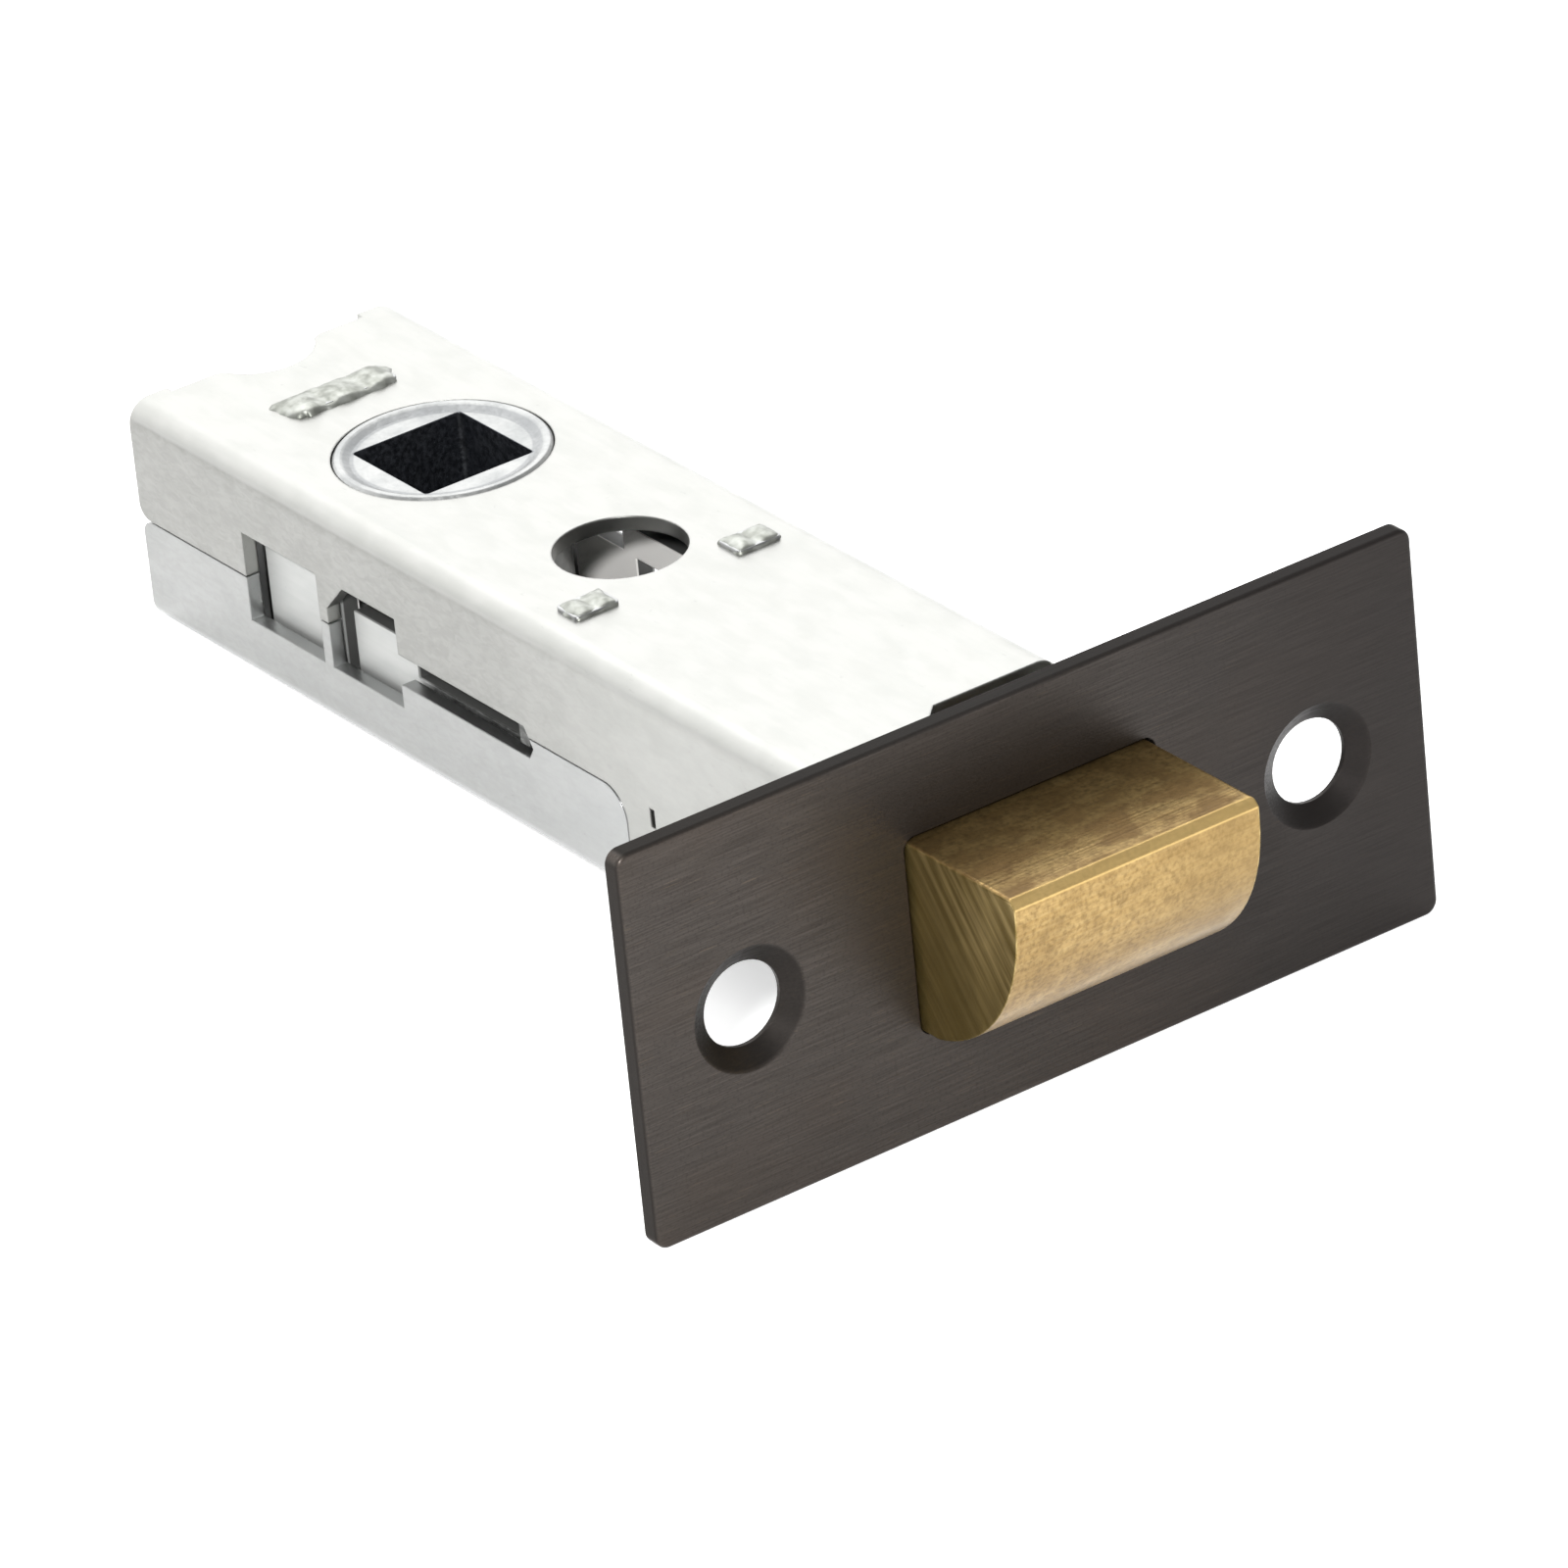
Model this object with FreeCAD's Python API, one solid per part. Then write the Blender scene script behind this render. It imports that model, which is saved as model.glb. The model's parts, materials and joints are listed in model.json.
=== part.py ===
import FreeCAD, Part
import math
import os

# Tubular door latch with a flat two-shell case, a brass spring bolt and a square-hole hub.
# Frame: origin in the middle of the forend's front face, on the line of the bolt.
# +X the way the bolt is thrown, +Y along the forend, +Z up along the spindle.
# All sizes are in millimetres.

V = FreeCAD.Vector
X_AXIS = V(1, 0, 0)
Y_AXIS = V(0, 1, 0)
Z_AXIS = V(0, 0, 1)

# Forend, the bronze plate let into the door's edge
forend_length = 57.5
forend_width = 25.8
forend_thickness = 1.2
forend_corner_radius = 0.9
forend_edge_round = 0.25
screw_pitch = 41.4
screw_hole_radius = 2.7
countersink_radius = 4.0
countersink_land = 0.3
collar_thickness = 2.0
collar_margin_length = 4.6
collar_margin_width = 2.0

# Case, two pressed steel shells
case_depth = 80.0
bolt_case_side_gap = 0.35
bolt_case_top_gap = 0.4
shell_thickness = 1.0
shell_bend_radius = 1.6
seam_height = -0.3
seam_gap = 0.12
upper_rear_setback = 0.6
lower_rear_setback = 0.2
rear_corner_radius = 1.0
full_side_length = 26.2
full_side_corner_radius = 2.1
case_front_gap = 0.05

# Rear notch that clears the rear fixing screw
notch_radius = 3.6
notch_depth = 2.5
notch_lip_radius = 1.0

# Hub and its square hole
backset = 60.0
spindle_square = 8.0
spindle_clearance = 0.05
square_corner_radius = 0.3
hub_bore_radius = 6.95
hub_running_clearance = 0.08
hub_end_stand = 0.1
hub_end_chamfer = 0.2
hub_rim_width = 0.5
hub_ring_slope = 0.6
hub_floor_depth = 0.3
hub_body_radius = 7.3
hub_neck_radius = 6.4
hub_shoulder_play = 0.2

# Two lobes of the hub
lobe_tip_radius = 8.9
lobe_thickness = 2.5
lobe_width_angle = 20.0
lobe_root = 5.0

# Fixing screws that pass through the door and the case
through_pitch = 19.0
through_radius = 4.2

# Bolt
bolt_throw = 10.2
bolt_width = 17.7
bolt_height = 12.4
bolt_inside_length = 7.0
bolt_nose_flat = 0.5
bevel_centre_drop = 1.2
bevel_foot_drop = 0.3
bolt_edge_round = 0.25
bolt_opening_side_gap = 0.3
bolt_opening_top_gap = 0.3
opening_corner_radius = 0.8
spring_bore_radius = 3.6
spring_bore_end = 3.5

# Stem that the bolt is pulled by
stem_radius = 2.0
stem_bolt_grip = 3.0
stem_washer_radius = 3.6
stem_washer_thickness = 0.9
stem_clip_radius = 3.0
stem_clip_thickness = 0.6
stem_groove_radius = 1.5
stem_end_length = 0.9
stem_play = 0.3

# Retractor, a yoke with two flat arms that run along the case's sides
travel_gap = 0.3
yoke_thickness = 1.5
yoke_hole_gap = 0.35
yoke_tenon_half_height = 2.0
arm_thickness = 1.3
arm_wall_gap = 0.3
arm_floor_gap = 1.0
arm_roof_gap = 0.5
arm_front_top = 2.4
arm_step_top = 0.5
arm_rear_start = 0.6
arm_rear_length = 8.2
arm_step_length = 5.5
relief_width = 1.4
relief_floor = -4.2
hook_gap = 0.3
hook_thickness = 1.4
hook_neck_gap = 0.3
guide_length = 1.0
guide_setback = 1.5
guide_side_gap = 0.35
guide_sink = 0.5

# Guide slot and windows in the case's sides
slot_bottom = -1.7
slot_top = 0.4
slot_front_gap = 0.3
slot_nose = 0.8
slot_nose_height = -0.9
slot_foot = 0.3
window_bottom = -3.3
window_top = 2.8
window_rear_start = 8.1
window_rear_end = -0.1
window_front_start = -1.0
window_front_end = -8.7
window_cut_corner = 2.0
tick_offset = 23.7
tick_width = 0.5
tick_height = 1.3

# Relief slot in the upper shell, behind the forend
relief_rear = 10.6
relief_front = 7.6
relief_inner = 0.1
relief_outer = 9.6
relief_corner = 0.9

# Plates that tie the two shells, with staked tenons
front_plate_thickness = 1.6
front_plate_gap = 0.1
front_plate_hole_radius = 4.5
plate_arm_gap = 0.3
front_tenon_centre = 6.0
front_tenon_width = 2.6
rear_plate_offset = 11.4
rear_plate_thickness = 1.7
rear_tenon_half_width = 3.4
tenon_stake_height = 0.25
tenon_stake_spread = 0.3

# Springs
bolt_spring_radius = 2.95
bolt_spring_wire = 0.7
bolt_spring_turns = 10.0
return_spring_case_gap = 0.75
return_spring_wire = 1.1
return_spring_turns = 5.5

# Heights and widths worked out from the sizes above
case_width = bolt_width + 2 * (bolt_case_side_gap + shell_thickness)
case_height = bolt_height + 2 * (bolt_case_top_gap + shell_thickness)
bevel_radius = bolt_height - bevel_centre_drop + bevel_foot_drop
half_width = case_width / 2
half_height = case_height / 2
inner_half_width = half_width - shell_thickness
inner_half_height = half_height - shell_thickness
arm_outer = inner_half_width - arm_wall_gap
arm_inner = arm_outer - arm_thickness
arm_rear_top = inner_half_height - arm_roof_gap
arm_bottom = -inner_half_height + arm_floor_gap
yoke_half_height = inner_half_height - arm_floor_gap
return_spring_radius = inner_half_height - return_spring_case_gap - return_spring_wire / 2
plate_half_width = arm_inner - plate_arm_gap
case_front = -forend_thickness - case_front_gap
case_rear = -case_depth
through_centre = through_pitch - backset
window_side = 2 * case_width

# Places along the bolt's line
bolt_rear = -bolt_inside_length
yoke_front = bolt_rear - bolt_throw - travel_gap
yoke_rear = yoke_front - yoke_thickness
washer_front = yoke_rear - stem_play
washer_rear = washer_front - stem_washer_thickness
clip_rear = washer_rear - stem_clip_thickness
front_plate_rear = through_centre + through_radius + front_plate_gap
front_plate_front = front_plate_rear + front_plate_thickness
rear_plate_centre = -backset - rear_plate_offset
guide_front = front_plate_rear - guide_setback
guide_rear = guide_front - guide_length
slot_rear = -backset - window_front_end

# The hub's lobes stand forward at rest by half of the bolt's throw
lobe_reach = bolt_throw / 2
lobe_rest_angle = math.degrees(math.acos(lobe_reach / lobe_tip_radius))
hub_turn = 180 - 2 * lobe_rest_angle
lobe_top = arm_rear_top
lobe_bottom = lobe_top - lobe_thickness
hook_face = -backset + lobe_reach - hook_gap
hook_inner = hub_neck_radius + hook_neck_gap


def block(x_low, x_high, y_low, y_high, z_low, z_high):
    """A plain block between two corners."""
    return Part.makeBox(x_high - x_low, y_high - y_low, z_high - z_low, V(x_low, y_low, z_low))


def round_bar(radius, x_low, x_high):
    """A round bar along the bolt's line."""
    return Part.makeCylinder(radius, x_high - x_low, V(x_low, 0, 0), X_AXIS)


def post(radius, x, y, z_low, z_high):
    """A round bar that stands along +Z."""
    return Part.makeCylinder(radius, z_high - z_low, V(x, y, z_low), Z_AXIS)


def closed_face(points):
    """A flat face inside a closed outline of straight lines."""
    return Part.Face(Part.makePolygon(points + [points[0]]))


def cut_from_side(outline, y_low, y_high):
    """A plate with an outline of (x, z) points, standing along the case."""
    face = closed_face([V(x, y_low, z) for x, z in outline])
    return face.extrude(V(0, y_high - y_low, 0))


def cut_from_top(outline, z_low, z_high):
    """A plate with an outline of (x, y) points, lying flat."""
    face = closed_face([V(x, y, z_low) for x, y in outline])
    return face.extrude(V(0, 0, z_high - z_low))


def edges_along(shape, axis, test):
    """The straight edges of a shape that run along an axis and pass a test of their middle."""
    found = []
    for edge in shape.Edges:
        if len(edge.Vertexes) < 2:
            continue
        step = edge.Vertexes[1].Point.sub(edge.Vertexes[0].Point)
        length = step.Length
        if length > 1e-6 and abs(abs(step.dot(axis)) - length) < 1e-6:
            if test(edge.CenterOfMass):
                found.append(edge)
    return found


def mirrored(shape):
    """The same piece on the other side of the case."""
    return shape.mirror(V(0, 0, 0), Y_AXIS)


def forend():
    """Face plate with two countersunk holes and the bolt's opening."""
    plate = block(-forend_thickness, 0, -forend_length / 2, forend_length / 2, -forend_width / 2, forend_width / 2)
    plate = plate.makeFillet(forend_corner_radius, edges_along(plate, X_AXIS, lambda middle: True))
    rim = [edge for edge in plate.Edges if abs(edge.CenterOfMass.x) < 1e-6]
    plate = plate.makeFillet(forend_edge_round, rim)
    for side in (-1, 1):
        hole_at = V(-forend_thickness, side * screw_pitch / 2, 0)
        plate = plate.cut(Part.makeCylinder(screw_hole_radius, forend_thickness, hole_at, X_AXIS))
        sink_at = V(countersink_land - forend_thickness, side * screw_pitch / 2, 0)
        sink_depth = forend_thickness - countersink_land
        plate = plate.cut(Part.makeCone(screw_hole_radius, countersink_radius, sink_depth, sink_at, X_AXIS))
    return plate.cut(bolt_opening(-forend_thickness, 0))


def bolt_opening(x_low, x_high):
    """Rounded oblong hole that the bolt slides in."""
    half_y = bolt_width / 2 + bolt_opening_side_gap
    half_z = bolt_height / 2 + bolt_opening_top_gap
    hole = block(x_low, x_high, -half_y, half_y, -half_z, half_z)
    return hole.makeFillet(opening_corner_radius, edges_along(hole, X_AXIS, lambda middle: True))


def collar():
    """Stiffening plate behind the forend, which the case is welded into."""
    half_y = half_width + collar_margin_length
    half_z = half_height + collar_margin_width
    rear = -forend_thickness - collar_thickness
    plate = block(rear, -forend_thickness, -half_y, half_y, -half_z, half_z)
    plate = plate.makeFillet(forend_corner_radius, edges_along(plate, X_AXIS, lambda middle: True))
    return plate.cut(block(rear, -forend_thickness, -half_width, half_width, -half_height, half_height))


def channel(rear, front):
    """Square-cornered tube with bent long edges, which both shells are cut from."""
    outer = block(rear, front, -half_width, half_width, -half_height, half_height)
    outer = outer.makeFillet(shell_bend_radius, edges_along(outer, X_AXIS, lambda middle: True))
    inner = block(rear, front, -inner_half_width, inner_half_width, -inner_half_height, inner_half_height)
    inner_bend = max(shell_bend_radius - shell_thickness, 0.1)
    inner = inner.makeFillet(inner_bend, edges_along(inner, X_AXIS, lambda middle: True))
    return outer.cut(inner)


def rear_notch(rear_edge):
    """Rounded notch in a shell's rear edge, with eased lips."""
    centre = rear_edge + notch_depth - notch_radius
    round_cut = post(notch_radius, centre, 0, -half_height - 1, half_height + 1)
    behind = block(rear_edge - notch_radius * 2, rear_edge, -notch_radius * 2, notch_radius * 2,
                   -half_height - 1, half_height + 1)
    cutter = round_cut.fuse(behind).removeSplitter()
    lips = edges_along(cutter, Z_AXIS, lambda middle: abs(middle.x - rear_edge) < 1e-4
                       and abs(middle.y) < notch_radius * 1.5)
    return cutter.makeFillet(notch_lip_radius, lips)


def side_cuts():
    """Windows, guide slot and nick that go through both sides of the case."""
    rear_window = block(-backset - window_rear_start, -backset - window_rear_end, -window_side, window_side,
                        window_bottom, window_top)
    rear = -backset - window_front_start
    front = -backset - window_front_end
    front_window = cut_from_side([
        (rear, window_bottom), (front, window_bottom), (front, window_top),
        (rear + window_cut_corner, window_top), (rear, window_top - window_cut_corner),
    ], -window_side, window_side)
    slot_front = guide_front + slot_front_gap
    slot = cut_from_side([
        (slot_rear, slot_bottom), (slot_front + slot_foot, slot_bottom),
        (slot_front + slot_nose, slot_nose_height), (slot_front, slot_top), (slot_rear, slot_top),
    ], -window_side, window_side)
    nick = block(case_front - tick_offset, case_front - tick_offset + tick_width, -window_side, 0,
                 seam_height - tick_height, seam_height)
    return [rear_window, front_window, slot, nick]


def tenon_slots(low, high):
    """Slots in a shell's wide face for the tenons of both tie plates."""
    cuts = []
    for side in (-1, 1):
        middle = side * front_tenon_centre
        cuts.append(block(front_plate_rear, front_plate_front, middle - front_tenon_width / 2,
                          middle + front_tenon_width / 2, low, high))
    cuts.append(block(rear_plate_centre - rear_plate_thickness / 2, rear_plate_centre + rear_plate_thickness / 2,
                      -rear_tenon_half_width, rear_tenon_half_width, low, high))
    return cuts


def face_holes(low, high):
    """Round holes in a shell's wide face for the hub and the front fixing screw."""
    return [post(hub_bore_radius, -backset, 0, low, high), post(through_radius, through_centre, 0, low, high)]


def upper_shell():
    """Upper half of the case, with sides of full height next to the forend."""
    shell = channel(case_rear, case_front)
    split = seam_height + seam_gap / 2
    step = case_front - full_side_length
    below = block(case_rear - 1, step, -half_width - 1, half_width + 1, -half_height - 1, split)
    corner = edges_along(below, Y_AXIS, lambda middle: middle.x > step - 1e-4 and middle.z > split - 1e-4)
    below = below.makeFillet(full_side_corner_radius, corner)
    floor = block(step - 1, case_front + 1, -inner_half_width, inner_half_width,
                  -half_height - 1, -inner_half_height + shell_bend_radius)
    shell = shell.cut(below).cut(floor)
    shell = shell.cut(rear_side_trim(split, case_rear, 1))
    shell = shell.cut(rear_notch(case_rear + upper_rear_setback).common(
        block(case_rear - 9, through_centre, -inner_half_width, inner_half_width, 0, half_height + 1)))
    relief = cut_from_top([
        (-relief_rear, relief_outer), (-relief_rear, relief_inner + relief_corner),
        (-relief_rear + relief_corner, relief_inner), (-relief_front, relief_inner), (-relief_front, relief_outer),
    ], half_height - shell_bend_radius, half_height + 1)
    cuts = side_cuts() + tenon_slots(0, half_height + 1) + face_holes(0, half_height + 1) + [relief]
    for cut in cuts:
        shell = shell.cut(cut)
    return shell


def lower_shell():
    """Lower half of the case, whose sides stop short of the forend."""
    rear = case_rear + lower_rear_setback
    shell = channel(rear, case_front)
    split = seam_height - seam_gap / 2
    step = case_front - full_side_length - seam_gap
    above = block(rear - 1, case_front + 1, -half_width - 1, half_width + 1, split, half_height + 1)
    sides = block(step, case_front + 1, -half_width - 1, half_width + 1, -half_height - 1, half_height + 1)
    round_part = sides.fuse(above).removeSplitter()
    corner = edges_along(round_part, Y_AXIS, lambda middle: abs(middle.x - step) < 1e-4
                         and abs(middle.z - split) < 1e-4)
    round_part = round_part.makeFillet(full_side_corner_radius, corner)
    keep = block(step - full_side_corner_radius * 2, case_front, -inner_half_width + seam_gap,
                 inner_half_width - seam_gap, -half_height, -inner_half_height)
    tongue = shell.common(keep)
    shell = shell.cut(round_part).fuse(tongue).removeSplitter()
    shell = shell.cut(rear_side_trim(split, rear, -1))
    shell = shell.cut(rear_notch(rear).common(
        block(rear - 9, through_centre, -inner_half_width, inner_half_width, -half_height - 1, 0)))
    cuts = side_cuts() + tenon_slots(-half_height - 1, 0) + face_holes(-half_height - 1, 0)
    for cut in cuts:
        shell = shell.cut(cut)
    return shell


def rear_side_trim(split, rear, side):
    """Scrap outside the rounded rear corner of a shell's sides, next to the seam."""
    reach = rear_corner_radius
    low, high = sorted((split - side, split + side * reach))
    scrap = block(rear - 1, rear + reach, -half_width - 1, half_width + 1, low, high)
    axis_point = V(rear + reach, -half_width - 1, split + side * reach)
    return scrap.cut(Part.makeCylinder(reach, case_width + 2, axis_point, Y_AXIS))


def staked_tenon(middle_x, thickness, y_low, y_high, side):
    """Tenon through a shell, spread at its end like a flat rivet."""
    inner, outer = side * inner_half_height, side * half_height
    tip = side * (half_height + tenon_stake_height)
    shank = block(middle_x - thickness / 2, middle_x + thickness / 2, y_low, y_high, min(inner, outer),
                  max(inner, outer))
    half_x = thickness / 2 + tenon_stake_spread
    head = block(middle_x - half_x, middle_x + half_x, y_low - tenon_stake_spread, y_high + tenon_stake_spread,
                 min(outer, tip), max(outer, tip))
    head = head.makeFillet(tenon_stake_spread * 0.9, edges_along(head, Z_AXIS, lambda middle: True))
    return shank.fuse(head)


def front_plate():
    """Tie plate in front of the fixing screw, which the return spring pushes on."""
    plate = block(front_plate_rear, front_plate_front, -plate_half_width, plate_half_width,
                  -inner_half_height, inner_half_height)
    middle_x = (front_plate_rear + front_plate_front) / 2
    for side in (-1, 1):
        for across in (-1, 1):
            middle = across * front_tenon_centre
            plate = plate.fuse(staked_tenon(middle_x, front_plate_thickness, middle - front_tenon_width / 2,
                                            middle + front_tenon_width / 2, side))
    plate = plate.cut(round_bar(front_plate_hole_radius, front_plate_rear - 1, front_plate_front + 1))
    return plate.removeSplitter()


def rear_plate():
    """Tie plate behind the hub, with one wide tenon to each shell."""
    plate = block(rear_plate_centre - rear_plate_thickness / 2, rear_plate_centre + rear_plate_thickness / 2,
                  -plate_half_width, plate_half_width, -inner_half_height, inner_half_height)
    for side in (-1, 1):
        plate = plate.fuse(staked_tenon(rear_plate_centre, rear_plate_thickness, -rear_tenon_half_width,
                                        rear_tenon_half_width, side))
    return plate.removeSplitter()


def lobe_outline():
    """Outline of one lobe, from its root round its tip, in the hub's own plane."""
    def polar(radius, angle):
        turn = math.radians(angle)
        return V(-backset + radius * math.cos(turn), radius * math.sin(turn), lobe_bottom)

    rear_tip = polar(lobe_tip_radius, lobe_rest_angle)
    mid_tip = polar(lobe_tip_radius, lobe_rest_angle - lobe_width_angle / 2)
    front_tip = polar(lobe_tip_radius, lobe_rest_angle - lobe_width_angle)
    rear_root = V(rear_tip.x + 0.2, lobe_root, lobe_bottom)
    front_root = polar(lobe_root, lobe_rest_angle - lobe_width_angle * 1.6)
    inner = polar(lobe_root * 0.95, lobe_rest_angle)
    edges = [
        Part.Arc(rear_tip, mid_tip, front_tip).toShape(),
        Part.makeLine(front_tip, front_root),
        Part.makeLine(front_root, inner),
        Part.makeLine(inner, rear_root),
        Part.makeLine(rear_root, rear_tip),
    ]
    return Part.Face(Part.Wire(edges))


def hub():
    """Hub with a square hole, two journals and two lobes that push the retractor."""
    journal_radius = hub_bore_radius - hub_running_clearance
    end = half_height + hub_end_stand
    edge = journal_radius - hub_end_chamfer
    rim = journal_radius - hub_rim_width
    floor = end - hub_floor_depth
    flat = rim - hub_ring_slope
    shoulder_low = -inner_half_height + hub_shoulder_play
    body_top = lobe_bottom - hub_shoulder_play
    shoulder_high = inner_half_height - hub_shoulder_play
    profile = [
        V(0, 0, -floor), V(flat, 0, -floor), V(rim, 0, -end), V(edge, 0, -end),
        V(journal_radius, 0, -end + hub_end_chamfer),
        V(journal_radius, 0, shoulder_low), V(hub_body_radius, 0, shoulder_low), V(hub_body_radius, 0, body_top),
        V(hub_neck_radius, 0, body_top), V(hub_neck_radius, 0, shoulder_high),
        V(journal_radius, 0, shoulder_high), V(journal_radius, 0, end - hub_end_chamfer),
        V(edge, 0, end), V(rim, 0, end), V(flat, 0, floor), V(0, 0, floor),
    ]
    body = closed_face(profile).revolve(V(0, 0, 0), Z_AXIS, 360)
    body.translate(V(-backset, 0, 0))
    lobe = lobe_outline().extrude(V(0, 0, lobe_thickness))
    body = body.fuse(lobe).fuse(mirrored(lobe)).removeSplitter()
    half_square = spindle_square / 2 + spindle_clearance
    square = block(-backset - half_square, -backset + half_square, -half_square, half_square,
                   -half_height, half_height)
    square = square.makeFillet(square_corner_radius, edges_along(square, Z_AXIS, lambda middle: True))
    return body.cut(square)


def latch_bolt():
    """Brass bolt with a flat top, a sharp nose and a curved bevel below."""
    half_z = bolt_height / 2
    nose = bolt_throw
    centre_z = half_z - bevel_centre_drop
    centre_x = nose - bevel_radius
    foot_x = centre_x + math.sqrt(bevel_radius ** 2 - (half_z + centre_z) ** 2)
    foot_angle = math.atan2(-half_z - centre_z, foot_x - centre_x)
    middle = V(centre_x + bevel_radius * math.cos(foot_angle / 2), 0,
               centre_z + bevel_radius * math.sin(foot_angle / 2))
    nose_low = V(nose, 0, centre_z)
    nose_high = V(nose, 0, half_z - bolt_nose_flat)
    nose_top = V(nose - bolt_nose_flat, 0, half_z)
    foot = V(foot_x, 0, -half_z)
    edges = [
        Part.makeLine(V(bolt_rear, 0, -half_z), V(bolt_rear, 0, half_z)),
        Part.makeLine(V(bolt_rear, 0, half_z), nose_top),
        Part.makeLine(nose_top, nose_high),
        Part.makeLine(nose_high, nose_low),
        Part.Arc(nose_low, middle, foot).toShape(),
        Part.makeLine(foot, V(bolt_rear, 0, -half_z)),
    ]
    body = Part.Face(Part.Wire(edges)).extrude(V(0, bolt_width, 0))
    body.translate(V(0, -bolt_width / 2, 0))
    long_edges = edges_along(body, X_AXIS, lambda point: point.z > 0)
    body = body.makeFillet(bolt_edge_round, long_edges)
    body = body.cut(round_bar(spring_bore_radius, bolt_rear, spring_bore_end))
    return body.cut(round_bar(stem_radius, bolt_rear, spring_bore_end + stem_bolt_grip))


def bolt_stem():
    """Steel stem pressed into the bolt, with a groove for its clip."""
    tail = clip_rear - stem_end_length
    stem = round_bar(stem_radius, tail, spring_bore_end + stem_bolt_grip)
    groove = round_bar(stem_radius + 1, clip_rear, washer_rear)
    groove = groove.cut(round_bar(stem_groove_radius, clip_rear, washer_rear))
    stem = stem.cut(groove)
    end_edge = [edge for edge in stem.Edges if abs(edge.CenterOfMass.x - tail) < 1e-6]
    return stem.makeChamfer(stem_radius * 0.15, end_edge)


def stem_washer():
    """Washer that the yoke draws back."""
    ring = round_bar(stem_washer_radius, washer_rear, washer_front)
    return ring.cut(round_bar(stem_radius, washer_rear, washer_front))


def stem_clip():
    """Open clip in the stem's groove."""
    ring = round_bar(stem_clip_radius, clip_rear, washer_rear)
    ring = ring.cut(round_bar(stem_groove_radius, clip_rear, washer_rear))
    mouth = stem_groove_radius * 0.85
    return ring.cut(block(clip_rear, washer_rear, -mouth, mouth, -stem_clip_radius - 1, 0))


def retractor_yoke():
    """Cross plate at the arms' front, with a tenon into each arm."""
    plate = block(yoke_rear, yoke_front, -arm_inner, arm_inner, -yoke_half_height, yoke_half_height)
    tenons = block(yoke_rear, yoke_front, -arm_outer, arm_outer, -yoke_tenon_half_height, yoke_tenon_half_height)
    plate = plate.fuse(tenons).removeSplitter()
    return plate.cut(round_bar(stem_radius + yoke_hole_gap, yoke_rear, yoke_front))


def retractor_arm():
    """Flat arm on the +Y side, with a hook behind the hub's lobe and a guide lug in the case's slot."""
    rear_start = -backset + arm_rear_start
    rear = rear_start - arm_rear_length
    relief_start = rear_start + relief_width
    step = relief_start + arm_step_length
    arm = cut_from_side([
        (yoke_front, arm_bottom), (yoke_front, arm_front_top), (step, arm_front_top), (step, arm_step_top),
        (relief_start, arm_step_top), (relief_start, relief_floor), (rear_start, relief_floor),
        (rear_start, lobe_bottom), (hook_face, lobe_bottom), (hook_face, arm_rear_top),
        (rear, arm_rear_top), (rear, arm_bottom),
    ], arm_inner, arm_outer)
    hook = block(hook_face - hook_thickness, hook_face, hook_inner, arm_inner, lobe_bottom, arm_rear_top)
    lug = block(guide_rear, guide_front, arm_outer, half_width - guide_sink, slot_bottom + guide_side_gap,
                slot_top - guide_side_gap)
    lance = block(slot_rear, guide_rear, arm_inner, arm_outer, slot_bottom, slot_top)
    arm = arm.fuse(hook).fuse(lug).removeSplitter().cut(lance)
    tenon_notch = block(yoke_rear, yoke_front, arm_inner, arm_outer,
                        -yoke_tenon_half_height, yoke_tenon_half_height)
    return arm.cut(tenon_notch)


def coil(mean_radius, wire, turns, x_low, x_high):
    """Compression spring along the bolt's line."""
    length = x_high - x_low - wire
    helix = Part.makeHelix(length / turns, length, mean_radius)
    ring = Part.Wire(Part.makeCircle(wire / 2, V(mean_radius, 0, 0), Y_AXIS))
    spring = Part.Wire(helix).makePipeShell([ring], True, True)
    spring.rotate(V(0, 0, 0), Y_AXIS, 90)
    spring.translate(V(x_low + wire / 2, 0, 0))
    return spring


def bolt_spring():
    """Light spring between the yoke and the bottom of the bolt's bore."""
    return coil(bolt_spring_radius, bolt_spring_wire, bolt_spring_turns, yoke_front, spring_bore_end)


def return_spring():
    """Stronger spring between the front tie plate and the yoke."""
    return coil(return_spring_radius, return_spring_wire, return_spring_turns, front_plate_front, yoke_rear)


pieces = {
    "forend": forend,
    "forend_collar": collar,
    "upper_shell": upper_shell,
    "lower_shell": lower_shell,
    "front_tie_plate": front_plate,
    "rear_tie_plate": rear_plate,
    "hub": hub,
    "latch_bolt": latch_bolt,
    "bolt_stem": bolt_stem,
    "stem_washer": stem_washer,
    "stem_clip": stem_clip,
    "bolt_spring": bolt_spring,
    "return_spring": return_spring,
    "retractor_yoke": retractor_yoke,
    "retractor_arm_right": retractor_arm,
    "retractor_arm_left": lambda: mirrored(retractor_arm()),
}

os.makedirs("parts", exist_ok=True)
for name, make in pieces.items():
    shape = make()
    shape.exportStep("parts/" + name + ".step")
    print(name, "valid", shape.isValid(), "solids", len(shape.Solids), "volume", round(shape.Volume, 1))
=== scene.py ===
"""Tubular door latch: finishes, staked metal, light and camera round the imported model.

All lengths are in millimetres until they reach Blender, which works in metres.
"""

import json
import logging
import math
from dataclasses import dataclass, field
from enum import Enum
from typing import Any

import bmesh
import bpy
from mathutils import Matrix, Vector, noise

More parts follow.
